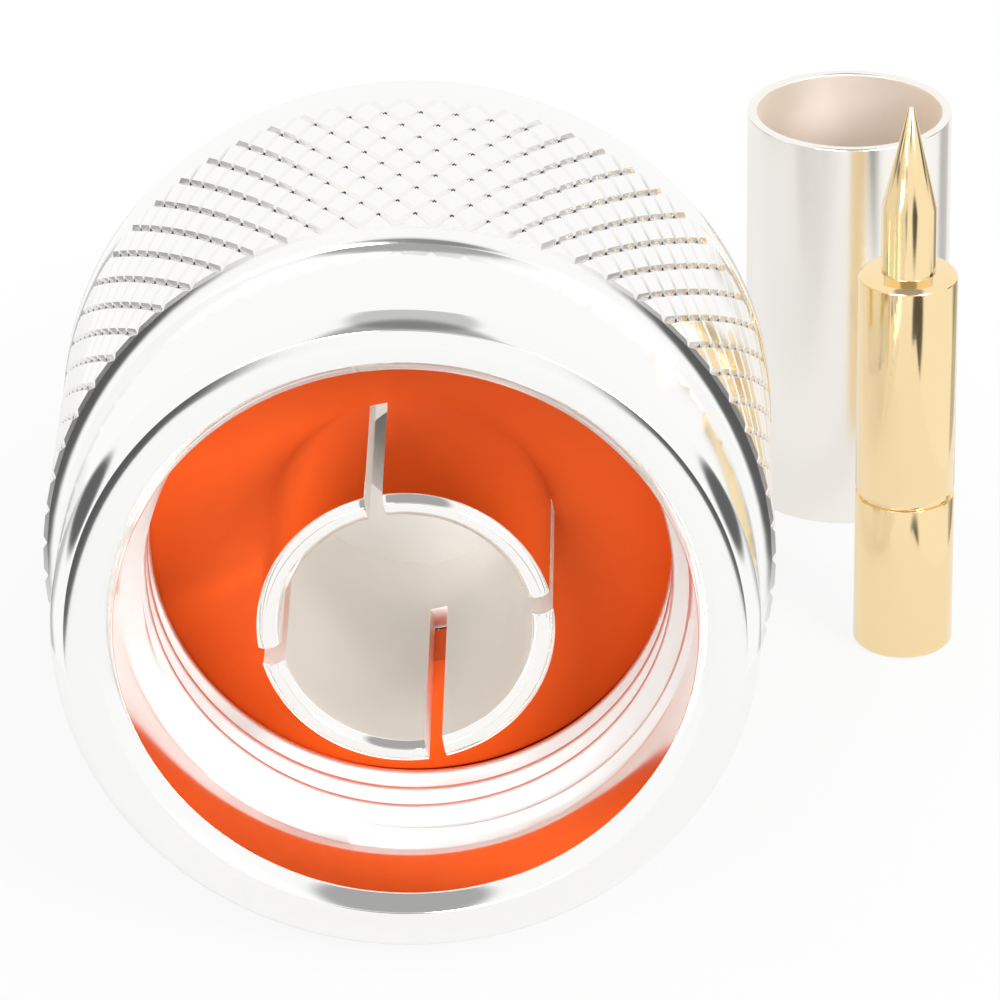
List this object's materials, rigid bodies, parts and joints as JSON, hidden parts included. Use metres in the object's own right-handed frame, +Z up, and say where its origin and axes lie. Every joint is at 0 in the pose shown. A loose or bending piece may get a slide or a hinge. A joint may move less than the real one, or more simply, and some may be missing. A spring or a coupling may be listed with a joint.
{
  "type": "n type connector",
  "caption": "Crimp coaxial plug with a spinning knurled coupling nut, slotted contact sleeve and gasket, with its loose centre pin and ferrule.",
  "frame": {"origin": "centre of the coupling nut's mouth on the plug's axis, in the plane of the mating face", "axes": "-Y out of the mouth towards the mating jack, +Y towards the cable, +Z up from the surface that the nut lies on"},
  "size_m": [0.0267, 0.0351, 0.0208],
  "materials": {
    "nut_plating": "bright silver-coloured plating, polished",
    "shell_plating": "bright silver-coloured plating",
    "sleeve_plating": "mirror-bright silver-coloured plating",
    "silicone": "matt orange silicone",
    "spring_bronze": "drawn spring bronze",
    "ptfe": "machined white fluoroplastic",
    "gold_plating": "bright gold-coloured plating",
    "ferrule_plating": "bright nickel-coloured plating"
  },
  "bodies": {
    "plug_body": {"body_shell": "shell_plating", "crimp_neck": "shell_plating", "contact_sleeve": "sleeve_plating", "gasket": "silicone", "retaining_ring": "spring_bronze", "insulator": "ptfe", "centre_pin": "gold_plating", "crimp_ferrule": "ferrule_plating"},
    "nut": {"coupling_nut": "nut_plating"}
  },
  "joints": [
    {"name": "nut_spin", "type": "hinge", "parent": "plug_body", "child": "nut", "pos_m": [0, 0.0079, 0], "axis": [0, -1, 0], "continuous": true}
  ]
}
